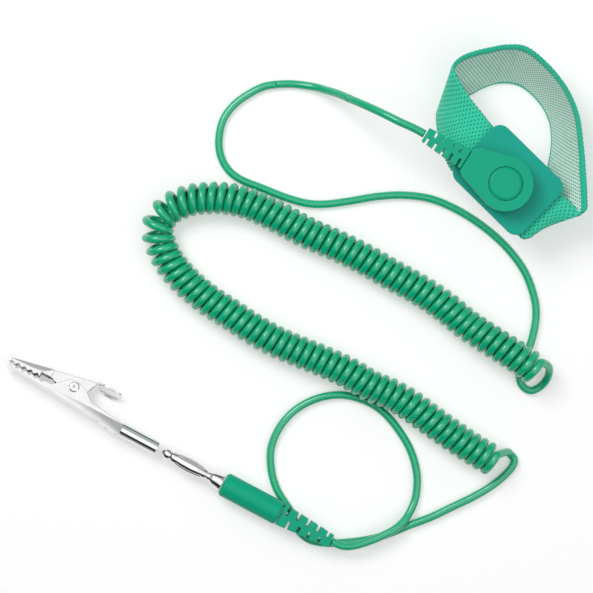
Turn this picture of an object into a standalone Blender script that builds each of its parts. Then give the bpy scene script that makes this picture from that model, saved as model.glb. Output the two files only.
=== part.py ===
"""An anti-static wrist strap: elastic band, snap head, curly cord, banana plug and alligator clip.

Metres, +Z up. The strap lies on the plane z = 0. The snap's axis is vertical, and the plug and
the clip share one horizontal axis.
"""

import math

import bmesh
import bpy
from mathutils import Vector

# Layout
LAYOUT_SHIFT = (0.00053, 0.00142, -0.00003)  # puts the origin under the middle of the strap
GAP = 0.0003  # between pieces that touch

# Band and cover plate
BAND_THICK = 0.0014
BAND_STEPS = 64
PLATE_CENTRE = (0.0724, 0.0225, 0.0)
PLATE_TURN = math.radians(-44.5)  # the plate's long side, seen from above
PLATE_SIZE = (0.0324, 0.0252)
PLATE_THICK = 0.0017
PLATE_CORNER = 0.0038
BACKPLATE_SIZE = (0.0240, 0.0180)
BACKPLATE_THICK = 0.0010
RECESS_R, RECESS_DEEP = 0.0033, 0.0007  # in the backplate's underside, for the rivet's flange
BAR_SIZE = (0.0030, 0.0190, 0.0009)
BAR_OUT = 0.0100  # from the plate's middle to a clamp bar

# Press-stud
SNAP_AXIS = (0.0710, 0.0209, 0.0)
Z_BACKPLATE = 0.0156
Z_BAR = 0.0169
Z_PLATE = 0.0198
Z_STUD = Z_PLATE + PLATE_THICK + GAP
RIVET_R = 0.00125
STUD_BORE_R = RIVET_R + GAP
STUD_BULB_R = 0.0021

# Snap head
HEAD_TURN = math.radians(148.1)  # the way its cord leaves
Z_HEAD = 0.0226
HEAD_THICK = 0.0057
HEAD_R = 0.0094
SHOULDER = (0.0137, 0.00575)
HEAD_END = (0.0155, 0.0041)
CAVITY_R, CAVITY_DEEP = 0.0052, 0.0040
CAP_R, CAP_SEAT = 0.0056, 0.0009
HEAD_BORE_R = 0.0019
Z_HEAD_BORE = 0.0252
HEAD_RELIEF = (HEAD_END[0] + GAP, 0.0318)

# Cord
CORD_R = 0.0014
COIL_R = 0.0058
CORD_STEP = 0.0066

# Plug
PLUG_AXIS = (-0.04523, -0.07168, 0.0057)
PLUG_TURN = math.radians(-28.1)
BALL_X, BALL_R = 0.0007, 0.0020
CORE_R = 0.0010
CAGE_X = (0.0025, 0.0160)
CAGE_R, CAGE_END_R, CAGE_NOSE_R, CAGE_WALL = 0.0027, 0.00165, 0.00192, 0.00035
COLLAR_X, COLLAR_R = (0.0163, 0.0222), 0.0031
SLEEVE_X, SLEEVE_R = (0.0225, 0.0449), 0.00425
PLUG_RELIEF = (SLEEVE_X[1] + GAP, 0.0651)

# Clip, in its own frame: X along the barrel, Y towards the thumb pad, Z along the rivet
CLIP_ROLL = math.radians(-15)
SHEET = 0.0005
CHANNEL = 0.0027  # half the width of the lower jaw
NOSE_X = -0.06314
TOOTH = 0.0024
TEETH = 6
BITE_Y = 0.0021
RIVET_X, RIVET_Y = -0.0388, 0.0048
BARREL_X, BARREL_R, BARREL_BORE = (-0.0179, -0.0034), 0.0025, 0.00212
PAD_X, PAD_Y, PAD_HALF = (-0.0316, -0.0226), 0.0104, 0.0034
PAD_DISH, PAD_TILT = 0.0009, math.radians(18)

# The band's two edges, from the plate's one short side round the wrist to the other
EDGE_TOP = [
    (72.2, 35.9, 18.8), (67.8, 40.3, 18.8), (63.3, 45.8, 18.8), (58.9, 51.3, 19.0), (55.4, 57.1, 19.3),
    (54.0, 61.3, 19.3), (56.5, 64.6, 19.0), (61.6, 66.7, 18.6), (66.8, 67.9, 18.6), (72.2, 68.8, 18.6),
    (78.9, 68.1, 18.8), (85.7, 62.8, 19.0), (92.4, 54.7, 19.0), (96.7, 45.1, 19.0), (98.4, 33.1, 19.2),
    (99.2, 22.5, 19.3), (99.5, 16.4, 19.3), (99.4, 12.6, 19.2), (97.5, 11.3, 18.9), (94.8, 14.0, 18.8),
    (91.4, 17.1, 18.8), (86.6, 21.9, 18.8),
]
EDGE_LOW = [
    (58.2, 21.2, 18.8), (53.7, 25.6, 18.8), (51.9, 28.8, 17.5), (50.3, 33.8, 13.5), (49.1, 40.4, 8.0),
    (49.5, 46.6, 3.5), (52.8, 50.3, 1.2), (59.8, 52.8, 0.5), (65.4, 55.8, 0.39), (71.8, 57.5, 0.39),
    (78.7, 56.3, 0.39), (85.0, 50.8, 0.39), (88.5, 44.5, 0.39), (89.5, 38.6, 0.39), (88.9, 32.1, 1.5),
    (86.6, 23.2, 5.0), (84.4, 14.3, 9.5), (82.3, 6.9, 14.0), (79.9, 3.2, 17.5), (77.9, 2.5, 18.8),
    (76.3, 3.7, 18.8), (71.5, 8.5, 18.8),
]

# The cord's route, in millimetres
SPAN_ROUTE = [
    (43.7, 37.85, 25.2), (40.4, 39.7, 25.2), (35.0, 42.2, 24.8), (30.3, 44.7, 23.0), (24.8, 47.6, 19.5),
    (19.3, 50.4, 14.5), (14.5, 52.9, 9.5), (10.4, 54.5, 5.6), (6.6, 55.8, 2.8), (1.4, 56.7, 1.6),
]
LEAD_SNAP_ROUTE = [
    (0.8, 56.8, 1.6), (-3.6, 57.0, 1.5), (-10.6, 56.2, 1.5), (-16.4, 53.5, 1.5), (-21.8, 49.5, 1.5),
    (-25.5, 44.2, 1.5), (-26.9, 37.7, 1.5), (-26.3, 31.9, 1.5), (-23.6, 26.9, 1.5), (-18.9, 23.4, 1.5),
    (-11.9, 20.6, 1.5), (-3.8, 17.4, 1.5), (4.2, 15.2, 1.5), (10.8, 15.0, 1.5), (18.5, 16.0, 1.5),
    (28.3, 17.6, 1.5), (37.7, 18.1, 1.5), (47.5, 16.7, 1.5), (57.0, 12.6, 1.5), (66.4, 6.4, 1.5),
    (74.1, -0.7, 1.5), (80.0, -8.8, 1.5), (83.2, -17.5, 1.5), (83.9, -24.1, 1.5), (82.8, -31.0, 1.5),
    (81.4, -35.3, 1.5), (79.3, -40.2, 1.5), (78.1, -45.1, 1.5), (79.2, -48.6, 1.5), (82.1, -50.2, 1.5),
    (85.6, -48.6, 1.8), (87.8, -45.4, 3.6), (87.8, -41.8, 7.0),
]
COIL_ROUTE = [
    (83.1, -42.8, 8.9), (75.5, -37.6, 8.9), (68.0, -32.8, 8.0), (59.4, -27.1, 6.4), (51.0, -20.3, 5.9),
    (42.4, -14.7, 5.9), (32.9, -9.5, 5.9), (24.3, -4.6, 5.9), (14.6, 0.2, 5.9), (4.2, 4.7, 5.9),
    (-5.2, 9.6, 5.9), (-15.3, 14.5, 5.9), (-23.3, 16.6, 5.9), (-31.0, 16.9, 5.9), (-37.7, 15.9, 5.9),
    (-44.5, 12.6, 5.9), (-48.2, 6.3, 5.9), (-45.2, -3.2, 5.9), (-39.1, -11.2, 5.9), (-30.9, -18.2, 5.9),
    (-22.9, -23.4, 5.9), (-14.9, -28.6, 5.9), (-7.3, -32.8, 5.9), (1.4, -36.6, 5.9), (10.1, -40.1, 5.9),
    (18.4, -43.9, 5.9), (26.1, -48.4, 5.9), (32.3, -50.9, 5.9), (39.6, -55.0, 5.9), (46.9, -60.3, 5.9),
    (54.2, -65.5, 5.9), (61.5, -70.3, 5.9), (68.8, -74.5, 5.9),
]
LEAD_PLUG_ROUTE = [
    (72.5, -71.6, 5.9), (74.3, -72.2, 3.2), (76.3, -74.3, 1.6), (75.5, -76.9, 1.5), (72.3, -80.4, 1.5),
    (67.8, -83.9, 1.5), (61.8, -87.4, 1.5), (54.5, -90.9, 1.5), (47.2, -94.4, 1.5), (39.8, -97.2, 1.5),
    (32.5, -100.2, 1.5), (25.9, -102.1, 1.5), (18.9, -103.1, 1.5), (11.9, -103.5, 1.5), (5.6, -102.6, 1.5),
    (1.7, -100.0, 1.5), (-0.3, -96.1, 1.5), (-1.7, -92.5, 1.5), (-4.0, -89.1, 1.5), (-7.0, -83.9, 1.5),
    (-8.7, -77.3, 1.5), (-8.6, -69.9, 1.5), (-5.4, -62.6, 1.5), (0.0, -56.8, 1.5), (7.3, -53.0, 1.5),
    (15.5, -51.7, 1.5), (23.6, -53.5, 1.5), (30.3, -57.5, 1.5), (36.0, -64.1, 1.5), (40.2, -71.5, 1.5),
    (42.3, -79.7, 1.5), (41.9, -87.0, 1.5), (40.1, -91.9, 2.2), (37.6, -95.6, 3.5), (34.1, -98.5, 4.4),
    (29.2, -101.0, 4.8), (24.0, -103.0, 5.1), (19.0, -104.2, 5.4), (15.5, -103.9, 5.6), (12.5, -102.5, 5.7),
]

for stale in list(bpy.data.objects):
    bpy.data.objects.remove(stale, do_unlink=True)
parts = bpy.data.collections.new("esd_wrist_strap")
cutters = bpy.data.collections.new("cutters")
for group in (parts, cutters):
    bpy.context.scene.collection.children.link(group)


def material(name, colour, roughness, metallic=0.0):
    made = bpy.data.materials.new(name)
    made.use_nodes = True
    shader = made.node_tree.nodes["Principled BSDF"]
    shader.inputs["Base Color"].default_value = (*colour, 1.0)
    shader.inputs["Roughness"].default_value = roughness
    shader.inputs["Metallic"].default_value = metallic
    return made


KNIT = material("knit", (0.03, 0.52, 0.35), 0.9)
MOULDED = material("moulded_green", (0.0, 0.38, 0.24), 0.4)
JACKET = material("cord_jacket", (0.0, 0.42, 0.22), 0.3)
STEEL = material("bright_steel", (0.75, 0.76, 0.78), 0.2, 1.0)
CERAMIC = material("resistor_enamel", (0.55, 0.42, 0.26), 0.5)


def frame(name, parent, location, turn=(0.0, 0.0, 0.0)):
    """An empty that pieces are placed from."""
    made = bpy.data.objects.new(name, None)
    parts.objects.link(made)
    made.parent = parent
    made.location = location
    made.rotation_euler = turn
    return made


def piece(name, data, parent, finish, location=(0.0, 0.0, 0.0), turn=(0.0, 0.0, 0.0)):
    made = bpy.data.objects.new(name, data)
    (cutters if finish is None else parts).objects.link(made)
    made.parent = parent
    made.location = location
    made.rotation_euler = turn
    if finish is None:
        made.hide_render = True
        made.display_type = "WIRE"
    else:
        data.materials.append(finish)
    return made


def box_mesh(low, high):
    mesh = bpy.data.meshes.new("box")
    shape = bmesh.new()
    bmesh.ops.create_cube(shape, size=1.0)
    for vert in shape.verts:
        for axis in range(3):
            vert.co[axis] = low[axis] if vert.co[axis] < 0 else high[axis]
    shape.to_mesh(mesh)
    shape.free()
    return mesh


def cylinder_mesh(radius, length, sides=24):
    """A cylinder about Z, from z = 0 up."""
    mesh = bpy.data.meshes.new("cylinder")
    shape = bmesh.new()
    bmesh.ops.create_cone(
        shape, cap_ends=True, segments=sides, radius1=radius, radius2=radius, depth=length
    )
    bmesh.ops.translate(shape, verts=shape.verts, vec=(0.0, 0.0, length / 2))
    shape.to_mesh(mesh)
    shape.free()
    return mesh


def outline_mesh(points, low, high):
    """A flat outline in X and Y, filled from z = low to z = high."""
    curve = bpy.data.curves.new("outline", "CURVE")
    curve.dimensions = "2D"
    curve.fill_mode = "BOTH"
    curve.extrude = (high - low) / 2
    spline = curve.splines.new("POLY")
    spline.points.add(len(points) - 1)
    for vert, (x, y) in zip(spline.points, points):
        vert.co = (x, y, 0.0, 1.0)
    spline.use_cyclic_u = True
    holder = bpy.data.objects.new("outline", curve)
    cutters.objects.link(holder)
    bpy.context.view_layer.update()
    graph = bpy.context.evaluated_depsgraph_get()
    mesh = bpy.data.meshes.new_from_object(holder.evaluated_get(graph))
    bpy.data.objects.remove(holder)
    shape = bmesh.new()
    shape.from_mesh(mesh)
    bmesh.ops.remove_doubles(shape, verts=shape.verts, dist=1e-6)
    bmesh.ops.translate(shape, verts=shape.verts, vec=(0.0, 0.0, (low + high) / 2))
    bmesh.ops.recalc_face_normals(shape, faces=shape.faces)
    shape.to_mesh(mesh)
    shape.free()
    return mesh


def turned(name, profile, parent, finish, ring=False, steps=24, **place):
    """A shape turned about Z from (radius, z) points, listed from the top down its outer side."""
    mesh = bpy.data.meshes.new(name)
    edges = [(i, i + 1) for i in range(len(profile) - 1)]
    if ring:
        edges.append((len(profile) - 1, 0))
    mesh.from_pydata([(r, 0.0, z) for r, z in profile], edges, [])
    made = piece(name, mesh, parent, finish, **place)
    screw = made.modifiers.new("turn", "SCREW")
    screw.steps = screw.render_steps = steps
    screw.use_merge_vertices = True
    screw.merge_threshold = 1e-6
    return made


def cut(target, cutter, operation="DIFFERENCE"):
    change = target.modifiers.new(cutter.name, "BOOLEAN")
    change.operation = operation
    change.object = cutter
    return change


def soften(target, width, segments=2):
    edge = target.modifiers.new("soften", "BEVEL")
    edge.width = width
    edge.segments = segments
    edge.limit_method = "ANGLE"
    edge.angle_limit = math.radians(50)


def smooth_line(points, step):
    """Points about one step apart along a smooth curve through the given points."""
    given = [Vector(p) * 0.001 for p in points]
    ends = [2 * given[0] - given[1], *given, 2 * given[-1] - given[-2]]
    fine = []
    per_span = 16
    for a, b, c, d in zip(ends, ends[1:], ends[2:], ends[3:]):
        for i in range(per_span):
            t = i / per_span
            fine.append(
                (2 * b + (c - a) * t + (2 * a - 5 * b + 4 * c - d) * t * t
                 + (3 * b - 3 * c + d - a) * t ** 3) / 2
            )
    fine.append(given[-1])
    run = [0.0]
    for a, b in zip(fine, fine[1:]):
        run.append(run[-1] + (b - a).length)
    count = max(2, round(run[-1] / step))
    line, at = [], 0
    for i in range(count + 1):
        want = run[-1] * i / count
        while at < len(run) - 2 and run[at + 1] < want:
            at += 1
        share = (want - run[at]) / (run[at + 1] - run[at])
        line.append(fine[at].lerp(fine[at + 1], share))
    return line


def tube(name, line, radius, parent, finish, sides_level=2):
    curve = bpy.data.curves.new(name, "CURVE")
    curve.dimensions = "3D"
    curve.bevel_depth = radius
    curve.bevel_resolution = sides_level
    curve.use_fill_caps = True
    spline = curve.splines.new("POLY")
    spline.points.add(len(line) - 1)
    for vert, place in zip(spline.points, line):
        vert.co = (*place, 1.0)
    return piece(name, curve, parent, finish)


def arc(centre, radius, start, end, steps):
    """Points on an arc, in degrees."""
    sweep = [math.radians(start + (end - start) * i / steps) for i in range(steps + 1)]
    return [(centre[0] + radius * math.cos(a), centre[1] + radius * math.sin(a)) for a in sweep]


def rounded_rectangle(size, corner):
    x, y = size[0] / 2 - corner, size[1] / 2 - corner
    points = []
    for quarter, centre in enumerate(((x, y), (-x, y), (-x, -y), (x, -y))):
        points += arc(centre, corner, 90 * quarter, 90 * quarter + 90, 5)
    return points


def notched_taper(x_ends, half_ends, notches):
    """A tapering outline with slots cut in from each side in turn, as on a strain relief."""
    start, end = x_ends
    pitch = (end - start) / (notches + 1)
    slot = 0.26 * pitch
    spine = 0.22

    def side(first):
        edge = [(start, half_ends[0])]
        for i in range(first, notches, 2):
            middle = start + pitch * (i + 1)
            half = half_ends[0] + (half_ends[1] - half_ends[0]) * (middle - start) / (end - start)
            edge += [(middle - slot, half), (middle - slot, spine * half)]
            edge += [(middle + slot, spine * half), (middle + slot, half)]
        return edge + [(end, half_ends[1])]

    return side(0) + [(x, -y) for x, y in reversed(side(1))]


def strain_relief(name, x_ends, half_ends, depth_ends, parent, height=0.0):
    low = outline_mesh(notched_taper(x_ends, half_ends, 9), -1.0, 1.0)
    for vert in low.vertices:
        share = (vert.co.x - x_ends[0]) / (x_ends[1] - x_ends[0])
        vert.co.z *= depth_ends[0] + (depth_ends[1] - depth_ends[0]) * share
    return piece(name, low, parent, MOULDED, location=(0.0, 0.0, height))


layout = frame("layout", None, LAYOUT_SHIFT)
plate_frame = frame("plate_frame", layout, PLATE_CENTRE, (0.0, 0.0, PLATE_TURN))
snap_axis = frame("snap_axis", layout, SNAP_AXIS)
head_frame = frame("head_frame", snap_axis, (0.0, 0.0, 0.0), (0.0, 0.0, HEAD_TURN))
plug_axis = frame("plug_axis", layout, PLUG_AXIS, (0.0, 0.0, PLUG_TURN))
clip_frame = frame("clip_frame", plug_axis, (0.0, 0.0, 0.0), (CLIP_ROLL, 0.0, 0.0))
jaw_hinge = frame("jaw_hinge", clip_frame, (RIVET_X, RIVET_Y, 0.0))
ALONG = (0.0, math.pi / 2, 0.0)  # turns a shape's Z axis to its frame's X


def make_band():
    """A ruled ribbon between its two edges, given its thickness by Solidify."""
    across = 3
    top = smooth_line(EDGE_TOP, 1e-4)
    low = smooth_line(EDGE_LOW, 1e-4)
    mesh = bpy.data.meshes.new("wrist_band")
    shape = bmesh.new()
    rows = []
    for i in range(BAND_STEPS + 1):
        share = i / BAND_STEPS
        a = top[round(share * (len(top) - 1))]
        b = low[round(share * (len(low) - 1))]
        rows.append([shape.verts.new(a.lerp(b, j / across)) for j in range(across + 1)])
    for one, two in zip(rows, rows[1:]):
        for j in range(across):
            shape.faces.new((one[j], one[j + 1], two[j + 1], two[j]))
    shape.to_mesh(mesh)
    shape.free()
    band = piece("wrist_band", mesh, layout, KNIT)
    solid = band.modifiers.new("thickness", "SOLIDIFY")
    solid.thickness = BAND_THICK
    solid.offset = 0.0


def make_plate():
    plate = piece(
        "cover_plate",
        outline_mesh(rounded_rectangle(PLATE_SIZE, PLATE_CORNER), Z_PLATE, Z_PLATE + PLATE_THICK),
        plate_frame, MOULDED,
    )
    soften(plate, 0.0005)
    boss_low = Z_BACKPLATE + BACKPLATE_THICK + GAP
    boss = piece(
        "plate_boss", cylinder_mesh(0.0055, Z_PLATE + 0.0008 - boss_low, 32), snap_axis, None,
        (0.0, 0.0, boss_low),
    )
    cut(plate, boss, "UNION")
    bore = piece("rivet_bore", cylinder_mesh(STUD_BORE_R, 0.012), snap_axis, None, (0.0, 0.0, 0.014))
    cut(plate, bore)
    back = piece(
        "contact_backplate",
        outline_mesh(
            rounded_rectangle(BACKPLATE_SIZE, 0.003), Z_BACKPLATE, Z_BACKPLATE + BACKPLATE_THICK
        ),
        plate_frame, STEEL,
    )
    cut(back, bore)
    recess = piece(
        "rivet_recess", cylinder_mesh(RECESS_R, RECESS_DEEP + 0.001, 32), snap_axis, None,
        (0.0, 0.0, Z_BACKPLATE - 0.001),
    )
    cut(back, recess)
    for end, side in (("a", -1), ("b", 1)):
        half = [size / 2 for size in BAR_SIZE]
        middle = side * BAR_OUT
        bar = box_mesh(
            (middle - half[0], -half[1], Z_BAR), (middle + half[0], half[1], Z_BAR + BAR_SIZE[2])
        )
        piece(f"band_clamp_bar_{end}", bar, plate_frame, STEEL)


def make_press_stud():
    flange_top = Z_BACKPLATE + RECESS_DEEP - GAP
    flange_low = Z_BACKPLATE + 0.00005
    turned(
        "stud_rivet",
        [(0.0, 0.0240), (0.0009, 0.0240), (RIVET_R, 0.0237), (RIVET_R, flange_top),
         (0.0028, flange_top), (0.0030, flange_top - 0.0001), (0.0028, flange_low),
         (0.0, flange_low)],
        snap_axis, STEEL,
    )
    turned(
        "snap_stud",
        [(STUD_BORE_R, 0.0244), (0.0018, 0.0244), (STUD_BULB_R, 0.0240), (STUD_BULB_R, 0.0236),
         (0.00185, 0.0231), (0.00185, Z_STUD + 0.0005), (0.0042, Z_STUD + 0.0005), (0.0042, Z_STUD),
         (STUD_BORE_R, Z_STUD)],
        snap_axis, STEEL, ring=True,
    )
    turned(
        "snap_socket",
        [(0.0024, 0.0263), (0.0046, 0.0263), (0.0049, 0.0260), (0.0049, 0.0229), (0.0030, 0.0229),
         (0.0030, 0.0258), (0.0024, 0.0258)],
        head_frame, STEEL, ring=True,
    )
    ring = 0.00245
    wire = 0.0002
    turned(
        "socket_spring",
        [(ring + wire * math.sin(a), 0.0234 + wire * math.cos(a))
         for a in (math.radians(45 * i) for i in range(8))],
        snap_axis, STEEL, ring=True, steps=32,
    )


def make_head():
    shoulder_angle = math.degrees(
        math.atan2(SHOULDER[1], SHOULDER[0]) + math.acos(HEAD_R / math.hypot(*SHOULDER))
    )
    outline = arc((0.0, 0.0), HEAD_R, shoulder_angle, 360 - shoulder_angle, 36)
    outline += [(SHOULDER[0], -SHOULDER[1]), (HEAD_END[0], -HEAD_END[1])]
    outline += [HEAD_END, SHOULDER]
    shell = piece(
        "snap_head_shell", outline_mesh(outline, Z_HEAD, Z_HEAD + HEAD_THICK), head_frame, MOULDED
    )
    soften(shell, 0.0009, 3)
    cavity = piece(
        "socket_cavity", cylinder_mesh(CAVITY_R, CAVITY_DEEP + 0.002, 32), head_frame, None,
        (0.0, 0.0, Z_HEAD - 0.002),
    )
    seat = piece(
        "cap_seat", cylinder_mesh(CAP_R + GAP, 0.002, 48), head_frame, None,
        (0.0, 0.0, Z_HEAD + HEAD_THICK - CAP_SEAT),
    )
    bore = piece(
        "resistor_bore", cylinder_mesh(HEAD_BORE_R, 0.015), head_frame, None,
        (0.0040, 0.0, Z_HEAD_BORE), ALONG,
    )
    for cutter in (cavity, seat, bore):
        cut(shell, cutter)
    cap_low = Z_HEAD + HEAD_THICK - CAP_SEAT + GAP
    cap_top = Z_HEAD + HEAD_THICK + 0.0001
    turned(
        "snap_head_cap",
        [(0.0, cap_top), (CAP_R - 0.0008, cap_top), (CAP_R - 0.0004, cap_top - 0.0002),
         (CAP_R, cap_top - 0.0004), (CAP_R, cap_low), (0.0, cap_low)],
        head_frame, MOULDED, steps=48,
    )
    strain_relief("head_strain_relief", HEAD_RELIEF, (0.0037, 0.0025), (0.0027, 0.0021), head_frame,
                  Z_HEAD_BORE)

    def inside(name, x_low, x_high, radius, finish, edge=0.0):
        length = x_high - x_low
        turned(
            name,
            [(0.0, length), (radius - edge, length), (radius, length - edge), (radius, edge),
             (radius - edge, 0.0), (0.0, 0.0)] if edge else
            [(0.0, length), (radius, length), (radius, 0.0), (0.0, 0.0)],
            head_frame, finish, steps=16, location=(x_low, 0.0, Z_HEAD_BORE), turn=ALONG,
        )

    inside("resistor_lead_inner", 0.0052, 0.0064, 0.0003, STEEL)
    inside("resistor_body", 0.0067, 0.0121, 0.0012, CERAMIC, 0.0004)
    inside("resistor_lead_outer", 0.0124, 0.0133, 0.0003, STEEL)
    inside("crimp_ferrule", 0.0136, 0.0154, 0.0015, STEEL, 0.0002)


def make_cord():
    tube("cord_free_span", smooth_line(SPAN_ROUTE, CORD_STEP), CORD_R, layout, JACKET)
    tube("lead_snap_side", smooth_line(LEAD_SNAP_ROUTE, CORD_STEP), CORD_R, layout, JACKET)
    tube("coil_cord", smooth_line(COIL_ROUTE, 0.0085), COIL_R, layout, JACKET, 4)
    tube("lead_plug_side", smooth_line(LEAD_PLUG_ROUTE, CORD_STEP), CORD_R, layout, JACKET)


def make_plug():
    tip = BALL_X - BALL_R
    ball = [
        (BALL_R * math.sin(a), BALL_X - BALL_R * math.cos(a))
        for a in (math.radians(15 * i) for i in range(10))
    ]
    core = [(CORE_R, CAGE_X[0] - 0.0001), (CORE_R, 0.0232), (0.0019, 0.0236), (0.0019, 0.0396)]
    profile = [(0.0, tip), *ball[1:], *core, (0.0, 0.0396)]
    turned("banana_pin", profile[::-1], plug_axis, STEEL, turn=ALONG)
    span = CAGE_X[1] - CAGE_X[0]
    outer = []
    for i in range(9):
        share = i / 8
        end_r = CAGE_END_R + (CAGE_NOSE_R - CAGE_END_R) * share
        bulge = (CAGE_R - end_r) * math.sin(math.pi * share) ** 1.2
        outer.append((end_r + bulge, CAGE_X[1] - span * share))
    inner = [(r - CAGE_WALL, x) for r, x in reversed(outer)]
    cage = turned("banana_spring_cage", outer + inner, plug_axis, STEEL, ring=True, turn=ALONG)
    for name, turn in (("flat", 0.0), ("upright", math.pi / 2)):
        slit = piece(
            f"cage_slit_{name}", box_mesh((0.0046, -0.004, -0.0004), (0.0144, 0.004, 0.0004)),
            plug_axis, None, turn=(turn + math.pi / 4, 0.0, 0.0),
        )
        cut(cage, slit)
    turned(
        "plug_crimp_collar",
        [(CORE_R + GAP, COLLAR_X[1]), (COLLAR_R, COLLAR_X[1]), (COLLAR_R, COLLAR_X[1] - 0.0008),
         (0.0024, COLLAR_X[0] + 0.0022), (CAGE_END_R, COLLAR_X[0] + 0.0008), (CAGE_END_R, COLLAR_X[0]),
         (CORE_R + GAP, COLLAR_X[0])],
        plug_axis, STEEL, ring=True, turn=ALONG,
    )
    turned(
        "plug_sleeve",
        [(0.0, SLEEVE_X[1]), (SLEEVE_R - 0.0006, SLEEVE_X[1]), (SLEEVE_R, SLEEVE_X[1] - 0.0006),
         (SLEEVE_R, SLEEVE_X[0] + 0.0008), (SLEEVE_R - 0.0008, SLEEVE_X[0]), (0.0022, SLEEVE_X[0]),
         (0.0022, 0.0400), (0.0, 0.0400)],
        plug_axis, MOULDED, turn=ALONG, steps=32,
    )
    strain_relief("plug_strain_relief", PLUG_RELIEF, (0.0038, 0.0023), (0.0028, 0.0019), plug_axis)


def teeth(start_x, y, depth):
    """A saw edge from the nose back, as (x, y) points."""
    points = []
    for i in range(TEETH):
        points += [(start_x + TOOTH * i, y), (start_x + TOOTH * (i + 0.5), y + depth)]
    return points + [(start_x + TOOTH * TEETH, y)]


def make_lower_jaw():
    bite = BITE_Y - GAP / 2
    side = teeth(NOSE_X, bite, -0.0009)
    side += [(-0.0462, bite), (-0.0440, 0.0040), (-0.0415, 0.0066), (-0.0372, 0.0068)]
    side += [(-0.0345, 0.0058), (-0.0326, 0.0040), (-0.0310, 0.0028), (-0.0235, 0.0022)]
    side += [(-0.0174, 0.0012), (-0.0174, -BARREL_R), (-0.0215, -BARREL_R), (-0.0270, -0.0015)]
    side += [(-0.0380, -0.0009), (NOSE_X, 0.0007)]
    jaw = piece("clip_lower_jaw", outline_mesh(side[::-1], -CHANNEL, CHANNEL), clip_frame, STEEL)
    hollow = [(NOSE_X + SHEET, 0.0012), (-0.0380, SHEET - 0.0009), (-0.0270, SHEET - 0.0015)]
    hollow += [(-0.0215, SHEET - BARREL_R), (-0.0160, SHEET - BARREL_R), (-0.0160, 0.0100)]
    hollow += [(NOSE_X + SHEET, 0.0100)]
    inner = CHANNEL - SHEET
    channel = piece("jaw_channel", outline_mesh(hollow, -inner, inner), clip_frame, None)
    cut(jaw, channel)
    strip = piece(
        "neck_strip",
        box_mesh((-0.0210, -BARREL_R, -0.0016), (BARREL_X[0] + 0.001, SHEET - BARREL_R, 0.0016)),
        clip_frame, None,
    )
    cut(jaw, strip, "UNION")
    barrel = turned(
        "barrel_tube",
        [(BARREL_BORE, BARREL_X[1]), (BARREL_R, BARREL_X[1]), (BARREL_R, BARREL_X[0]),
         (BARREL_BORE, BARREL_X[0])],
        clip_frame, None, ring=True, steps=28, turn=ALONG,
    )
    cut(jaw, barrel, "UNION")
    seam = piece(
        "barrel_seam", box_mesh((-0.0190, 0.0, -0.00015), (-0.0020, 0.0040, 0.00015)), clip_frame, None
    )
    cut(jaw, seam)
    for i in range(3):
        hole = piece(
            f"web_hole_{i}", cylinder_mesh(0.0007, 0.004, 12), clip_frame, None,
            (-0.0262 + 0.0038 * i, -0.0004, 0.0), (math.pi / 2, 0.0, 0.0),
        )
        cut(jaw, hole)
    return jaw


def dished_pad():
    """An oval sheet along X, hollow towards the barrel and leaning over, given thickness by Solidify."""
    mesh = bpy.data.meshes.new("thumb_pad")
    shape = bmesh.new()
    rows, along, across = [], 14, 8
    for i in range(along + 1):
        share = 2 * i / along - 1
        half = PAD_HALF * max(0.25, (1 - abs(share) ** 2.6) ** 0.5)
        row = []
        for j in range(across + 1):
            out = half * (2 * j / across - 1)
            hollow = -PAD_DISH * (out / PAD_HALF) ** 2 - 0.4 * PAD_DISH * share ** 4
            row.append(shape.verts.new((share * (PAD_X[1] - PAD_X[0]) / 2, hollow, out)))
        rows.append(row)
    for one, two in zip(rows, rows[1:]):
        for j in range(across):
            shape.faces.new((one[j], one[j + 1], two[j + 1], two[j]))
    shape.to_mesh(mesh)
    shape.free()
    return mesh


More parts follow.
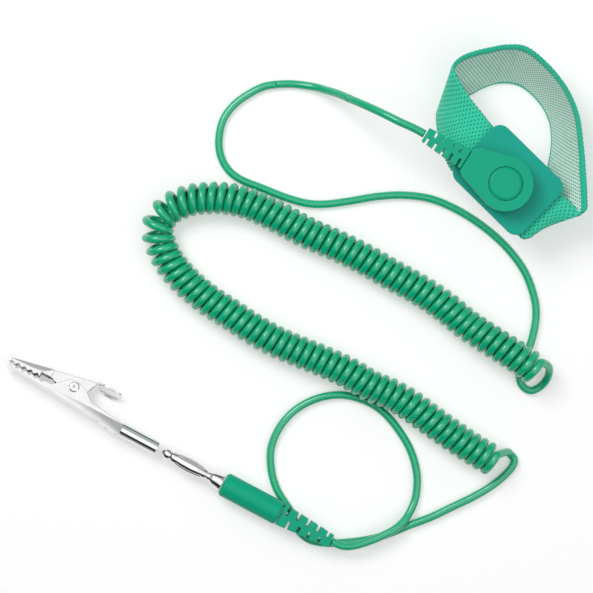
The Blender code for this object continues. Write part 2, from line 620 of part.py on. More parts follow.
def make_upper_jaw():
    bite = BITE_Y + GAP / 2
    inner = CHANNEL - SHEET - GAP
    offset_x, offset_y = -RIVET_X, -RIVET_Y  # the hinge frame's origin is the rivet

    def placed(points):
        return [(x + offset_x, y + offset_y) for x, y in points]

    front = [(NOSE_X, 0.0036), (-0.0475, 0.0070), (-0.0475, bite)]
    front += list(reversed(teeth(NOSE_X, bite, 0.0009)))
    back = [(-0.0481, 0.0067), (-0.0440, 0.0077), (-0.0332, 0.0100), (-0.0324, 0.0096)]
    back += [(-0.0336, 0.0070), (-0.0345, 0.0042), (-0.0365, 0.0028), (-0.0400, 0.0025)]
    back += [(-0.0440, 0.0030), (-0.0470, 0.0040), (-0.0481, 0.0044)]
    jaw = piece("clip_upper_jaw", outline_mesh(placed(back[::-1]), -inner, inner), jaw_hinge, STEEL)
    nose = piece("upper_nose", outline_mesh(placed(front[::-1]), -CHANNEL, CHANNEL), jaw_hinge, None)
    cut(jaw, nose, "UNION").solver = "MANIFOLD"  # EXACT leaves this join open
    nose_hollow = [(NOSE_X + SHEET, 0.0010), (NOSE_X + SHEET, 0.0032), (-0.0479, 0.0064), (-0.0479, 0.0010)]
    wide = CHANNEL - SHEET
    nose_channel = piece(
        "nose_channel", outline_mesh(placed(nose_hollow[::-1]), -wide, wide), jaw_hinge, None
    )
    cut(jaw, nose_channel)
    hollow = [(-0.0490, 0.0015), (-0.0490, 0.0060), (-0.0440, 0.0072), (-0.0345, 0.0092)]
    hollow += [(-0.0300, 0.0101), (-0.0300, 0.0), (-0.0440, 0.0)]
    wall = inner - SHEET
    channel = piece("upper_channel", outline_mesh(placed(hollow[::-1]), -wall, wall), jaw_hinge, None)
    cut(jaw, channel)
    lever = [(-0.0356, 0.0091), (-0.0336, 0.0094), (PAD_X[0], PAD_Y - SHEET / 2)]
    lever += [(PAD_X[0] + 0.0022, PAD_Y - SHEET / 2), (PAD_X[0] + 0.0022, PAD_Y + SHEET / 2)]
    lever += [(PAD_X[0] - 0.0003, PAD_Y + SHEET / 2), (-0.0338, 0.0099), (-0.0356, 0.0094)]
    neck = piece("lever_neck", outline_mesh(placed(lever), -0.0014, 0.0014), jaw_hinge, None)
    cut(jaw, neck, "UNION")
    pad = piece(
        "thumb_pad", dished_pad(), jaw_hinge, None,
        ((PAD_X[0] + PAD_X[1]) / 2 + offset_x, PAD_Y + offset_y, 0.0), (-PAD_TILT, 0.0, 0.0),
    )
    pad.modifiers.new("thickness", "SOLIDIFY").thickness = SHEET + 0.0001
    cut(jaw, pad, "UNION")
    window = piece(
        "jaw_window",
        box_mesh((-0.0512 + offset_x, 0.0018 + offset_y, -0.004),
                 (-0.0464 + offset_x, 0.0041 + offset_y, 0.004)),
        jaw_hinge, None,
    )
    cut(jaw, window)
    return jaw


def make_clip():
    lower = make_lower_jaw()
    upper = make_upper_jaw()
    hole = piece("rivet_hole", cylinder_mesh(0.0011, 0.008, 20), jaw_hinge, None, (0.0, 0.0, -0.004))
    cut(lower, hole)
    cut(upper, hole)
    head_in, head_out = CHANNEL + GAP, CHANNEL + 0.0007
    turned(
        "clip_rivet",
        [(0.0004, head_out), (0.0015, head_out), (0.0018, head_out - 0.0002), (0.0018, head_in),
         (0.0008, head_in), (0.0008, -head_in), (0.0018, -head_in), (0.0018, 0.0002 - head_out),
         (0.0015, -head_out), (0.0004, -head_out)],
        jaw_hinge, STEEL, ring=True, steps=20,
    )
    turns, per_turn, wind_r, wire = 3, 12, 0.0015, 0.00025
    line = [Vector((0.0054, 0.0036, -0.0010)), Vector((0.0028, 0.0020, -0.0010))]
    for i in range(turns * per_turn - 3):
        a = math.radians(70) + 2 * math.pi * i / per_turn
        line.append(
            Vector((wind_r * math.cos(a), wind_r * math.sin(a), -0.0010 + 0.00068 * i / per_turn))
        )
    line += [Vector((0.0028, -0.0022, 0.0009)), Vector((0.0060, -0.0049, 0.0009))]
    tube("clip_spring", line, wire, jaw_hinge, STEEL)


def shade_round_pieces():
    for made in parts.objects:
        if made.type == "MESH":
            made.data.shade_smooth()
            made.data.set_sharp_from_angle(angle=math.radians(35))


make_band()
make_plate()
make_press_stud()
make_head()
make_cord()
make_plug()
make_clip()
shade_round_pieces()
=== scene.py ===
"""The looks of an anti-static wrist strap: its knitted band, curly cord, moulded and plated parts."""

import math
from collections import namedtuple

import bmesh
import bpy
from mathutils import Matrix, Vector


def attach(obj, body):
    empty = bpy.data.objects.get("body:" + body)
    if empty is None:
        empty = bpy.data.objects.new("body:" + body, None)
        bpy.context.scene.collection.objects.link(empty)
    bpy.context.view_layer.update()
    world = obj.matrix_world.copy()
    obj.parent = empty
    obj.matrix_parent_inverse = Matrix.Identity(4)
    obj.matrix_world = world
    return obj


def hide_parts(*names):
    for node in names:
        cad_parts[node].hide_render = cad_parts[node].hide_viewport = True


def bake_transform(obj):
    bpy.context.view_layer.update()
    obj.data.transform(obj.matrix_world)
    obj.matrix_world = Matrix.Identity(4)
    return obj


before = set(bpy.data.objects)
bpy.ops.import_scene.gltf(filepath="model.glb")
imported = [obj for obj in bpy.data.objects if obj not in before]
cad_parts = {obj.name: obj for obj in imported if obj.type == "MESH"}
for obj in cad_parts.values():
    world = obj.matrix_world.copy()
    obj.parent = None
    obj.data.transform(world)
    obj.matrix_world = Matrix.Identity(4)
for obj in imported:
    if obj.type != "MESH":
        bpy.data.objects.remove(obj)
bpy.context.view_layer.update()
scene = bpy.context.scene

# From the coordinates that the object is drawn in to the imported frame, in metres
SHIFT = Vector((0.00053, 0.00142, -0.00003))

# The view, straight down
VIEW_CENTRE = Vector((0.0002, -0.0173, 0.0)) + SHIFT
VIEW_HEIGHT = 0.85
VIEW_WIDTH = 0.2076
LIGHT_TARGET = Vector((0.03, -0.01, 0.0))
PLUG_TURN = math.radians(-28.1)  # the direction of the plug and the clip in the table's plane

# Light. A stop is (place, grey). A place of the sky is the direction's Z, and a place of the card is the
# direction's share along the line across the plug's axis.
SKY_STRENGTH, SKY_LOW = 1.25, 0.40
SKY_STOPS = [(0.80, SKY_LOW), (0.92, 1.0), (0.12, 0.30), (0.16, 0.05), (0.30, 0.05), (0.36, SKY_LOW)]
CARD_STOPS = [(0.46, 1.0), (0.52, 0.02), (0.86, 0.02), (0.94, 0.7)]
KEY_WATTS, FILL_WATTS = 2.3, 0.8
FLOOR_GREY, FLOOR_GLOW = 0.62, 0.36

# Cord
CORD_R = 0.0014
CORD_SIDES = 12
ROUTE_STEP = 0.0008
FREE_LENGTH = 0.031  # of each of the two stretches that bend as the head moves

# Coil
COIL_R = 0.0058
WIND_R = COIL_R - CORD_R
PITCH = 0.0031
TURN_STEPS = 18
COIL_STEP = 0.0001  # along the coil's middle line
AHEAD_REACH = 60  # steps each way over which the middle line's direction is taken
BEND_REACH = 50  # steps each way over which its bend is taken
TURN_ROOM = 2.02 * CORD_R  # the least distance between turns on the inside of a bend
LEAST_INSIDE = 0.3  # the least length there, as a share of the middle line's
COIL_START, COIL_END = math.radians(20), math.radians(160)  # where round it the coil starts and ends
LEAD_IN = 10  # coil points in which a lead grows out of the coil
JOIN_REACH = 12  # coil points searched for the one nearest to a lead's end

# Band
BAND_THICK = 0.0014
BAND_ALONG, BAND_ACROSS = 430, 84  # cells of the mesh
EDGE_STEP = 0.0001
Stitch = namedtuple("Stitch", "along across depth")
OUTER_STITCH = Stitch(0.0015, 0.0011, 0.00024)
INNER_STITCH = Stitch(0.0012, 0.0008, 0.00022)
EDGE_STITCH = Stitch(0.0013, 0.0010, 0.0)
SELVAGE = 0.0019  # width of the plain strip along each edge of the inside
SCALLOP, SCALLOP_LONG = 0.00038, 0.0013
RIM_THIN, RIM_ROUND = 0.25, 0.0009  # share of the thickness at the rim, and the width over which it grows
UV_PER_METRE = 10
OUTSIDE, INSIDE, EDGE = 0, 1, 2  # the band's material slots
# The dark colour of each knit is painted shade, laid in the stitch hollows.
GREEN_LIGHT, GREEN_DARK = (0.035, 0.58, 0.37), (0.0, 0.22, 0.13)
SILVER_LIGHT, SILVER_DARK = (0.56, 0.80, 0.70), (0.025, 0.15, 0.105)
EDGE_LIGHT, EDGE_DARK = (0.02, 0.48, 0.30), (0.0, 0.25, 0.15)

# Looks of the CAD's nodes: all others are plated
LOOKS = {
    "moulded": ("snap_head_shell", "snap_head_cap", "head_strain_relief", "plug_sleeve",
                "plug_strain_relief"),
    "plate": ("cover_plate",),
    "enamel": ("resistor_body",),
}
ROUNDED = {
    "head_strain_relief": 0.00035, "plug_strain_relief": 0.00035, "clip_lower_jaw": 0.00008,
    "clip_upper_jaw": 0.00008, "contact_backplate": 0.00015,
}
ROUND_FROM = math.radians(40)
PLATED_EDGE = 0.0003  # radius of the rounding that the plated parts' shader shows

# The band's upper and lower edge, in millimetres, from one clamped end round to the other
EDGE_TOP = [
    (72.2, 35.9, 18.8), (67.8, 40.3, 18.8), (63.3, 45.8, 18.8), (58.9, 51.3, 19.0), (55.4, 57.1, 19.3),
    (54.0, 61.3, 19.3), (56.5, 64.6, 19.0), (61.6, 66.7, 18.6), (66.8, 67.9, 18.6), (72.2, 68.8, 18.6),
    (78.9, 68.1, 18.8), (85.7, 62.8, 19.0), (92.4, 54.7, 19.0), (96.7, 45.1, 19.0), (98.4, 33.1, 19.2),
    (99.2, 22.5, 19.3), (99.5, 16.4, 19.3), (99.4, 12.6, 19.2), (97.5, 11.3, 18.9), (94.8, 14.0, 18.8),
    (91.4, 17.1, 18.8), (86.6, 21.9, 18.8),
]
EDGE_LOW = [
    (58.2, 21.2, 18.8), (53.7, 25.6, 18.8), (51.9, 28.8, 17.5), (50.3, 33.8, 13.5), (49.1, 40.4, 8.0),
    (49.5, 46.6, 3.5), (52.8, 50.3, 1.2), (59.8, 52.8, 0.5), (65.4, 55.8, 0.39), (71.8, 57.5, 0.39),
    (78.7, 56.3, 0.39), (85.0, 50.8, 0.39), (88.5, 44.5, 0.39), (89.5, 38.6, 0.39), (88.9, 32.1, 1.5),
    (86.6, 23.2, 5.0), (84.4, 14.3, 9.5), (82.3, 6.9, 14.0), (79.9, 3.2, 17.5), (77.9, 2.5, 18.8),
    (76.3, 3.7, 18.8), (71.5, 8.5, 18.8),
]

# The cord's route, in millimetres, from the head to the coil, through it, and on to the plug
SNAP_ROUTE = [
    (43.7, 37.85, 25.2), (40.4, 39.7, 25.2), (35.0, 42.2, 24.8), (30.3, 44.7, 23.0), (24.8, 47.6, 19.5),
    (19.3, 50.4, 14.5), (14.5, 52.9, 9.5), (10.4, 54.5, 5.6), (6.6, 55.8, 2.8), (1.4, 56.7, 1.6),
    (-3.6, 57.0, 1.5), (-10.6, 56.2, 1.5), (-16.4, 53.5, 1.5), (-21.8, 49.5, 1.5),
    (-25.5, 44.2, 1.5), (-26.9, 37.7, 1.5), (-26.3, 31.9, 1.5), (-23.6, 26.9, 1.5), (-18.9, 23.4, 1.5),
    (-11.9, 20.6, 1.5), (-3.8, 17.4, 1.5), (4.2, 15.2, 1.5), (10.8, 15.0, 1.5), (18.5, 16.0, 1.5),
    (28.3, 17.6, 1.5), (37.7, 18.1, 1.5), (47.5, 16.7, 1.5), (57.0, 12.6, 1.5), (66.4, 6.4, 1.5),
    (74.1, -0.7, 1.5), (80.0, -8.8, 1.5), (83.2, -17.5, 1.5), (83.9, -24.1, 1.5), (82.8, -31.0, 1.5),
    (81.4, -35.3, 1.5), (79.3, -40.2, 1.5), (78.1, -45.1, 1.5), (79.2, -48.6, 1.5), (82.1, -50.2, 1.5),
    (85.6, -48.6, 1.8), (87.8, -45.4, 3.6), (87.8, -41.8, 7.0),
]
COIL_ROUTE = [
    (83.1, -42.8, 8.9), (75.5, -37.6, 8.9), (68.0, -32.8, 8.0), (59.4, -27.1, 6.4), (51.0, -20.3, 5.9),
    (42.4, -14.7, 5.9), (32.9, -9.5, 5.9), (24.3, -4.6, 5.9), (14.6, 0.2, 5.9), (4.2, 4.7, 5.9),
    (-5.2, 9.6, 5.9), (-15.3, 14.5, 5.9), (-23.3, 16.6, 5.9), (-31.0, 16.9, 5.9), (-37.7, 15.9, 5.9),
    (-44.5, 12.6, 5.9), (-48.2, 6.3, 5.9), (-45.2, -3.2, 5.9), (-39.1, -11.2, 5.9), (-30.9, -18.2, 5.9),
    (-22.9, -23.4, 5.9), (-14.9, -28.6, 5.9), (-7.3, -32.8, 5.9), (1.4, -36.6, 5.9), (10.1, -40.1, 5.9),
    (18.4, -43.9, 5.9), (26.1, -48.4, 5.9), (32.3, -50.9, 5.9), (39.6, -55.0, 5.9), (46.9, -60.3, 5.9),
    (54.2, -65.5, 5.9), (61.5, -70.3, 5.9), (68.8, -74.5, 5.9),
]
PLUG_ROUTE = [
    (73.6, -71.5, 4.0), (75.0, -72.6, 2.3), (76.3, -74.3, 1.6), (75.5, -76.9, 1.5), (72.3, -80.4, 1.5),
    (67.8, -83.9, 1.5), (61.8, -87.4, 1.5), (54.5, -90.9, 1.5), (47.2, -94.4, 1.5), (39.8, -97.2, 1.5),
    (32.5, -100.2, 1.5), (25.9, -102.1, 1.5), (18.9, -103.1, 1.5), (11.9, -103.5, 1.5), (5.6, -102.6, 1.5),
    (1.7, -100.0, 1.5), (-0.3, -96.1, 1.5), (-1.7, -92.5, 1.5), (-4.0, -89.1, 1.5), (-7.0, -83.9, 1.5),
    (-8.7, -77.3, 1.5), (-8.6, -69.9, 1.5), (-5.4, -62.6, 1.5), (0.0, -56.8, 1.5), (7.3, -53.0, 1.5),
    (15.5, -51.7, 1.5), (23.6, -53.5, 1.5), (30.3, -57.5, 1.5), (36.0, -64.1, 1.5), (40.2, -71.5, 1.5),
    (42.3, -79.7, 1.5), (41.9, -87.0, 1.5), (40.1, -91.9, 2.2), (37.6, -95.6, 3.5), (34.1, -98.5, 4.4),
    (29.2, -101.0, 4.8), (24.0, -103.0, 5.1), (19.0, -104.2, 5.4), (15.5, -103.9, 5.6), (12.5, -102.5, 5.7),
]


def in_frame(points):
    return [Vector(p) * 0.001 + SHIFT for p in points]


def smooth_line(given, step):
    """Points about one step apart along a smooth curve through the given points."""
    ends = [2 * given[0] - given[1], *given, 2 * given[-1] - given[-2]]
    fine = []
    for a, b, c, d in zip(ends, ends[1:], ends[2:], ends[3:]):
        per_span = max(2, math.ceil(2 * (c - b).length / step))
        for i in range(per_span):
            t = i / per_span
            fine.append(
                (2 * b + (c - a) * t + (2 * a - 5 * b + 4 * c - d) * t * t
                 + (3 * b - 3 * c + d - a) * t ** 3) / 2
            )
    fine.append(given[-1])
    run = [0.0]
    for a, b in zip(fine, fine[1:]):
        run.append(run[-1] + (b - a).length)
    count = max(2, round(run[-1] / step))
    line, at = [], 0
    for i in range(count + 1):
        want = run[-1] * i / count
        while at < len(run) - 2 and run[at + 1] < want:
            at += 1
        share = (want - run[at]) / (run[at + 1] - run[at])
        line.append(fine[at].lerp(fine[at + 1], share))
    return line


# ---- camera, light and floor ----


def make_camera():
    lens = bpy.data.cameras.new("camera")
    lens.sensor_width = 36.0
    lens.lens = lens.sensor_width * VIEW_HEIGHT / VIEW_WIDTH
    lens.clip_start, lens.clip_end = 0.01, 20.0
    camera = bpy.data.objects.new("camera", lens)
    camera.location = VIEW_CENTRE + Vector((0.0, 0.0, VIEW_HEIGHT))
    scene.collection.objects.link(camera)
    scene.camera = camera


def area_light(name, place, size, watts):
    lamp = bpy.data.lights.new(name, "AREA")
    lamp.shape = "RECTANGLE"
    lamp.size, lamp.size_y = size
    lamp.energy = watts
    holder = bpy.data.objects.new(name, lamp)
    holder.location = place
    holder.rotation_euler = (LIGHT_TARGET - Vector(place)).to_track_quat("-Z", "Y").to_euler()
    scene.collection.objects.link(holder)


def grey(shade):
    return (shade, shade, shade, 1.0)


def grey_ramp(nodes, stops):
    """A colour ramp with these stops. The first two take the places of the ramp's own."""
    ramp = nodes.new("ShaderNodeValToRGB")
    elements = ramp.color_ramp.elements
    for element, (place, shade) in zip(elements[:2], stops[:2]):
        element.position, element.color = place, grey(shade)
    for place, shade in stops[2:]:
        elements.new(place).color = grey(shade)
    return ramp


def make_sky():
    """A sky bright overhead with a dark band low down, and a dark card to one side of the plug's axis."""
    world = bpy.data.worlds.new("studio")
    scene.world = world
    world.use_nodes = True
    nodes, links = world.node_tree.nodes, world.node_tree.links
    coords = nodes.new("ShaderNodeTexCoord")
    split = nodes.new("ShaderNodeSeparateXYZ")
    links.new(coords.outputs["Generated"], split.inputs[0])
    sky = grey_ramp(nodes, SKY_STOPS)
    links.new(split.outputs["Z"], sky.inputs[0])
    side = nodes.new("ShaderNodeVectorMath")
    side.operation = "DOT_PRODUCT"
    side.inputs[1].default_value = (math.sin(PLUG_TURN), -math.cos(PLUG_TURN), 0.0)
    links.new(coords.outputs["Generated"], side.inputs[0])
    card = grey_ramp(nodes, CARD_STOPS)
    links.new(side.outputs["Value"], card.inputs[0])
    both = nodes.new("ShaderNodeMix")
    both.data_type, both.blend_type = "RGBA", "MULTIPLY"
    both.inputs[0].default_value = 1.0
    links.new(sky.outputs["Color"], both.inputs[6])
    links.new(card.outputs["Color"], both.inputs[7])
    backdrop = nodes["Background"]
    links.new(both.outputs[2], backdrop.inputs["Color"])
    backdrop.inputs["Strength"].default_value = SKY_STRENGTH


def make_floor():
    floor_mesh = bpy.data.meshes.new("floor")
    sheet = bmesh.new()
    bmesh.ops.create_grid(sheet, x_segments=1, y_segments=1, size=3.0)
    sheet.to_mesh(floor_mesh)
    sheet.free()
    floor = bpy.data.objects.new("floor", floor_mesh)
    scene.collection.objects.link(floor)
    paper = bpy.data.materials.new("paper")
    paper.use_nodes = True
    shader = paper.node_tree.nodes["Principled BSDF"]
    shader.inputs["Base Color"].default_value = grey(FLOOR_GREY)
    shader.inputs["Emission Color"].default_value = grey(1.0)
    shader.inputs["Emission Strength"].default_value = FLOOR_GLOW
    shader.inputs["Roughness"].default_value = 0.9
    floor_mesh.materials.append(paper)


def make_surroundings():
    scene.view_settings.view_transform = "Standard"
    make_sky()
    area_light("key", (-0.25, 0.30, 0.55), (0.30, 0.30), KEY_WATTS)
    area_light("fill", (0.40, -0.25, 0.50), (0.50, 0.40), FILL_WATTS)
    make_floor()


# ---- materials ----


class Finish:
    """A Principled material and short ways to add nodes to it."""

    def __init__(self, name, colour, roughness, **sockets):
        self.material = bpy.data.materials.new(name)
        self.material.use_nodes = True
        self.tree = self.material.node_tree
        self.shader = self.tree.nodes["Principled BSDF"]
        self.set("Base Color", (*colour, 1.0))
        self.set("Roughness", roughness)
        for socket, value in sockets.items():
            self.set(socket.replace("_", " "), value)

    def set(self, socket, value):
        self.shader.inputs[socket].default_value = value

    def link(self, source, target):
        self.tree.links.new(source, target)

    def node(self, kind, **values):
        made = self.tree.nodes.new(kind)
        for key, value in values.items():
            setattr(made, key, value)
        return made

    def math(self, operation, a, b=None, c=None):
        made = self.node("ShaderNodeMath", operation=operation)
        for socket, value in zip(made.inputs, (a, b, c)):
            if value is None:
                continue
            if isinstance(value, (int, float)):
                socket.default_value = value
            else:
                self.link(value, socket)
        return made.outputs[0]

    def noise(self, scale, detail=3.0):
        coords = self.node("ShaderNodeTexCoord")
        grain = self.node("ShaderNodeTexNoise")
        grain.inputs["Scale"].default_value = scale
        grain.inputs["Detail"].default_value = detail
        self.link(coords.outputs["Object"], grain.inputs["Vector"])
        return grain.outputs["Fac"]

    def mix_colour(self, amount, first, second):
        ramp = self.node("ShaderNodeValToRGB")
        ramp.color_ramp.elements[0].color = (*first, 1.0)
        ramp.color_ramp.elements[1].color = (*second, 1.0)
        self.link(amount, ramp.inputs[0])
        self.link(ramp.outputs["Color"], self.shader.inputs["Base Color"])

    def spread_roughness(self, amount, low, high):
        ranged = self.node("ShaderNodeMapRange")
        ranged.inputs["To Min"].default_value = low
        ranged.inputs["To Max"].default_value = high
        self.link(amount, ranged.inputs["Value"])
        self.link(ranged.outputs[0], self.shader.inputs["Roughness"])

    def bump(self, height, distance, strength, edge=None):
        """Fine relief, over a rounding of sharp edges to the radius edge where one is given."""
        relief = self.node("ShaderNodeBump")
        if edge:
            rounding = self.node("ShaderNodeBevel", samples=6)
            rounding.inputs["Radius"].default_value = edge
            self.link(rounding.outputs[0], relief.inputs["Normal"])
        relief.inputs["Distance"].default_value = distance
        relief.inputs["Strength"].default_value = strength
        self.link(height, relief.inputs["Height"])
        self.link(relief.outputs[0], self.shader.inputs["Normal"])


def make_finishes():
    jacket = Finish("cord_jacket", (0.0, 0.39, 0.19), 0.25, Specular_IOR_Level=0.5, Coat_Weight=0.5)
    jacket.set("Coat Roughness", 0.08)
    jacket.mix_colour(jacket.noise(60.0), (0.0, 0.355, 0.17), (0.0, 0.42, 0.205))
    jacket.spread_roughness(jacket.noise(400.0), 0.22, 0.32)
    jacket.bump(jacket.noise(2600.0, 2.0), 0.000006, 0.3)

    moulded = Finish("moulded_green", (0.0, 0.35, 0.20), 0.45, Specular_IOR_Level=0.2)
    moulded.mix_colour(moulded.noise(60.0), (0.0, 0.335, 0.19), (0.0, 0.365, 0.21))
    moulded.spread_roughness(moulded.noise(700.0), 0.40, 0.52)
    moulded.bump(moulded.noise(5200.0, 2.0), 0.000012, 0.4)

    plate = Finish("plate_green", (0.0, 0.33, 0.245), 0.4, Specular_IOR_Level=0.2)
    plate.mix_colour(plate.noise(60.0), (0.0, 0.31, 0.23), (0.002, 0.35, 0.26))
    plate.spread_roughness(plate.noise(700.0), 0.36, 0.5)
    plate.bump(plate.noise(5200.0, 2.0), 0.000012, 0.4)

    plated = Finish("nickel_plate", (0.78, 0.78, 0.79), 0.1, Metallic=1.0)
    plated.mix_colour(plated.noise(260.0), (0.76, 0.76, 0.77), (0.88, 0.88, 0.88))
    plated.spread_roughness(plated.noise(1100.0, 4.0), 0.04, 0.13)
    plated.bump(plated.noise(500.0, 3.0), 0.00002, 0.25, edge=PLATED_EDGE)

    enamel = Finish("resistor_enamel", (0.50, 0.38, 0.22), 0.45)
    enamel.mix_colour(enamel.noise(500.0), (0.42, 0.31, 0.17), (0.58, 0.45, 0.28))
    return {
        "jacket": jacket.material, "moulded": moulded.material, "plate": plate.material,
        "plated": plated.material, "enamel": enamel.material,
    }


def make_knit(name, light, dark, stitch, softness):
    """A knit of staggered stitches, drawn from the lengths along and across the band, with painted shade
    darkening the stitch hollows.
    """
    knit = Finish(name, light, 0.85, Sheen_Weight=0.35, Sheen_Roughness=0.5, Specular_IOR_Level=0.25)
    lengths = knit.node("ShaderNodeUVMap", uv_map="lengths")
    split = knit.node("ShaderNodeSeparateXYZ")
    knit.link(lengths.outputs[0], split.inputs[0])
    turn_x = knit.math("MULTIPLY", split.outputs["X"], 2 * math.pi / (UV_PER_METRE * stitch.along))
    turn_y = knit.math("MULTIPLY", split.outputs["Y"], math.pi / (UV_PER_METRE * stitch.across))
    stagger = knit.math("MULTIPLY", knit.math("COSINE", turn_x), knit.math("COSINE", turn_y))
    # Painted shade: the dark colour goes where the stitches are hollow.
    hollow_shade = knit.math("POWER", knit.math("MAXIMUM", stagger, 0.0), softness)
    fuzz = knit.math("MULTIPLY_ADD", knit.noise(2600.0), 0.5, -0.25)
    knit.mix_colour(knit.math("ADD", hollow_shade, fuzz), light, dark)
    knit.bump(knit.noise(3800.0, 4.0), 0.00012, 0.8)
    return knit.material


# ---- shapes ----


def add_mesh(name, verts, faces, finishes):
    mesh = bpy.data.meshes.new(name)
    mesh.from_pydata(verts, [], faces)
    for finish in finishes:
        mesh.materials.append(finish)
    mesh.shade_smooth()
    made = bpy.data.objects.new(name, mesh)
    scene.collection.objects.link(made)
    return made


def cord_mesh(name, line, finish):
    """A round tube along a line, with a frame carried from ring to ring so that it doesn't twist."""
    verts, faces = [], []
    side = None
    for i, point in enumerate(line):
        ahead = (line[min(i + 1, len(line) - 1)] - line[max(i - 1, 0)]).normalized()
        if side is None:
            side = ahead.orthogonal().normalized()
        side = (side - ahead * side.dot(ahead)).normalized()
        up = ahead.cross(side)
        for k in range(CORD_SIDES):
            a = 2 * math.pi * k / CORD_SIDES
            verts.append(point + CORD_R * (math.cos(a) * side + math.sin(a) * up))
    for i in range(len(line) - 1):
        for k in range(CORD_SIDES):
            one, two = i * CORD_SIDES + k, i * CORD_SIDES + (k + 1) % CORD_SIDES
            faces.append((one, two, two + CORD_SIDES, one + CORD_SIDES))
    faces.append(tuple(range(CORD_SIDES))[::-1])
    last = (len(line) - 1) * CORD_SIDES
    faces.append(tuple(range(last, last + CORD_SIDES)))
    return add_mesh(name, verts, faces, [finish])


def coil_line():
    """The helix, from its end by the lead of the head to its end by the lead of the plug."""
    middle = smooth_line(in_frame(COIL_ROUTE), COIL_STEP)
    last = len(middle) - 1
    ahead = [
        (middle[min(i + AHEAD_REACH, last)] - middle[max(i - AHEAD_REACH, 0)]).normalized()
        for i in range(len(middle))
    ]
    angles = [0.0]
    for i in range(1, len(middle)):
        bend = 0.0
        if AHEAD_REACH < i < len(middle) - AHEAD_REACH:
            bend = (ahead[i + BEND_REACH] - ahead[i - BEND_REACH]).length / (2 * BEND_REACH * COIL_STEP)
        pitch = max(PITCH, TURN_ROOM / max(LEAST_INSIDE, 1 - WIND_R * bend))
        step = (middle[i] - middle[i - 1]).length
        angles.append(angles[-1] + 2 * math.pi * step / pitch)
    # The helix is wound a little faster or slower, so that it ends at COIL_END after whole turns
    whole_turns = round((angles[-1] + COIL_START - COIL_END) / (2 * math.pi)) * 2 * math.pi
    winding = (whole_turns + COIL_END - COIL_START) / angles[-1]
    line, wanted = [], 0.0
    for place, way, angle in zip(middle, ahead, angles):
        if angle * winding < wanted:
            continue
        wanted += 2 * math.pi / TURN_STEPS
        right = Vector((way.y, -way.x, 0.0)).normalized()
        up = right.cross(way)
        a = COIL_START + angle * winding
        line.append(place + WIND_R * (math.cos(a) * right + math.sin(a) * up))
    return line


def split_line(line, length):
    """The line's first stretch of that length, and the rest, sharing a point."""
    run = 0.0
    for i, (a, b) in enumerate(zip(line, line[1:])):
        run += (b - a).length
        if run >= length:
            return line[: i + 2], line[i + 1:]
    return line, []


def nearest(line, places, point):
    return min(places, key=lambda i: (line[i] - point).length)


def make_cords(finish):
    """The cord in three lengths: two that bend as the head moves, and one with the coil in it."""
    coil = coil_line()
    route = smooth_line(in_frame(SNAP_ROUTE) + coil[1:LEAD_IN], ROUTE_STEP)
    near_head, rest = split_line(route, FREE_LENGTH)
    bridge, lead = split_line(rest, FREE_LENGTH)
    tail = smooth_line(coil[1 - LEAD_IN:-1] + in_frame(PLUG_ROUTE), ROUTE_STEP)
    coil_start = nearest(coil, range(1, JOIN_REACH), lead[-1])
    coil_end = nearest(coil, range(len(coil) - JOIN_REACH, len(coil)), tail[0])
    body = lead + coil[coil_start + 1:coil_end] + tail
    head_cord = cord_mesh("cord_at_head", near_head, finish)
    bridge_cord = cord_mesh("cord_free_middle", bridge, finish)
    main_cord = cord_mesh("curly_cord", body, finish)
    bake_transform(head_cord)
    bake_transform(bridge_cord)
    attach(main_cord, "root")
    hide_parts("cord_free_span")
    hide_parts("cord_free_span")
    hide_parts("lead_snap_side", "coil_cord", "lead_plug_side")


def stitch_depth(x, y, stitch):
    lattice = math.cos(2 * math.pi * x / stitch.along) * math.cos(math.pi * y / stitch.across)
    return stitch.depth * max(0.0, lattice) ** 1.5


# A point of the band: its places on the inside and the outside, and in metres along the band, across it
# and from the nearer edge
Cell = namedtuple("Cell", "inner outer x y rim")


def band_rings():
    """The band's cells, ring after ring along it."""
    top = smooth_line(in_frame(EDGE_TOP), EDGE_STEP)
    low = smooth_line(in_frame(EDGE_LOW), EDGE_STEP)
    steps = BAND_ALONG
    rails = [
        (top[round(i / steps * (len(top) - 1))], low[round(i / steps * (len(low) - 1))])
        for i in range(steps + 1)
    ]
    run = [0.0]
    for (a, b), (c, d) in zip(rails, rails[1:]):
        run.append(run[-1] + ((a + b) / 2 - (c + d) / 2).length)
    rings = []
    for i, (a, b) in enumerate(rails):
        c, d = rails[min(i + 2, steps)]
        e, f = rails[max(i - 2, 0)]
        x = run[i]
        width = (b - a).length
        across = (b - a).normalized()
        scallop = SCALLOP * abs(math.sin(math.pi * x / SCALLOP_LONG))
        ring = []
        for j in range(BAND_ACROSS + 1):
            share = j / BAND_ACROSS
            along = (c.lerp(d, share) - e.lerp(f, share)).normalized()
            out = across.cross(along).normalized()
            y = share * width
            rim = min(y, width - y)
            place = a.lerp(b, share)
            if j == 0:
                place = place - across * scallop
            if j == BAND_ACROSS:
                place = place + across * scallop
            half_thick = BAND_THICK / 2 * min(1.0, RIM_THIN + rim / RIM_ROUND)
            outer = half_thick - stitch_depth(x, y, OUTER_STITCH)
            inner = half_thick
            if rim > SELVAGE:
                inner -= stitch_depth(x, y, INNER_STITCH)
            ring.append(Cell(place + out * inner, place - out * outer, x, y, rim))
        rings.append(ring)
    return rings


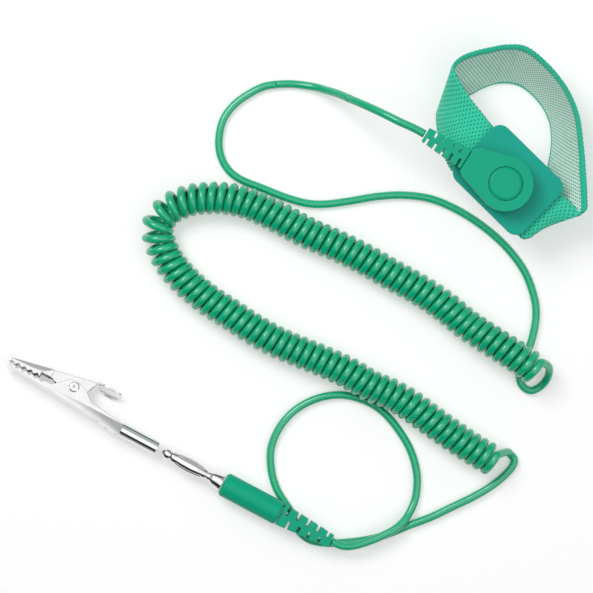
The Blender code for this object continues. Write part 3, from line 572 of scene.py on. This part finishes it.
def make_band(finishes):
    """The band: a closed ribbon whose stitches and scalloped edges are in its mesh."""
    rings = band_rings()
    steps, count = BAND_ALONG, BAND_ACROSS + 1
    points = []
    for ring in rings:
        points += [cell.inner for cell in ring] + [cell.outer for cell in ring]
    faces, kinds = [], []

    def at(i, side, j):
        return (i * 2 + side) * count + j

    for i in range(steps):
        for j in range(BAND_ACROSS):
            faces.append((at(i, 0, j), at(i, 0, j + 1), at(i + 1, 0, j + 1), at(i + 1, 0, j)))
            kinds.append(INSIDE if rings[i][j].rim > SELVAGE else EDGE)
            faces.append((at(i, 1, j), at(i + 1, 1, j), at(i + 1, 1, j + 1), at(i, 1, j + 1)))
            kinds.append(OUTSIDE)
        faces.append((at(i, 0, 0), at(i + 1, 0, 0), at(i + 1, 1, 0), at(i, 1, 0)))
        faces.append((at(i, 0, count - 1), at(i, 1, count - 1), at(i + 1, 1, count - 1),
                      at(i + 1, 0, count - 1)))
        kinds += [EDGE, EDGE]
    for i, order in ((0, 1), (steps, -1)):
        for j in range(BAND_ACROSS):
            faces.append((at(i, 0, j), at(i, 1, j), at(i, 1, j + 1), at(i, 0, j + 1))[::order])
            kinds.append(EDGE)
    band = add_mesh("knitted_band", points, faces, finishes)
    band.data.polygons.foreach_set("material_index", kinds)
    uv = band.data.uv_layers.new(name="lengths")
    for loop in band.data.loops:
        i, rest = divmod(loop.vertex_index, 2 * count)
        cell = rings[i][rest % count]
        uv.data[loop.index].uv = (cell.x * UV_PER_METRE, cell.y * UV_PER_METRE)
    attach(band, "root")
    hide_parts("wrist_band")


def finish_nodes(finishes):
    """Gives each CAD node its finish, and fine rounding to those with sharp edges."""
    named = {node: look for look, nodes in LOOKS.items() for node in nodes}
    for node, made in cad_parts.items():
        made.data.materials.clear()
        made.data.materials.append(finishes[named.get(node, "plated")])
        if node in ROUNDED:
            weld = made.modifiers.new("weld", "WELD")
            weld.merge_threshold = 1e-6
            edge = made.modifiers.new("round", "BEVEL")
            edge.width = ROUNDED[node]
            edge.segments = 2
            edge.limit_method = "ANGLE"
            edge.angle_limit = ROUND_FROM


make_camera()
make_surroundings()
finishes = make_finishes()
knits = [
    make_knit("band_outside", GREEN_LIGHT, GREEN_DARK, OUTER_STITCH, 1.1),
    make_knit("band_inside", SILVER_LIGHT, SILVER_DARK, INNER_STITCH, 0.8),
    make_knit("band_selvage", EDGE_LIGHT, EDGE_DARK, EDGE_STITCH, 2.0),
]
make_cords(finishes["jacket"])
make_band(knits)
finish_nodes(finishes)
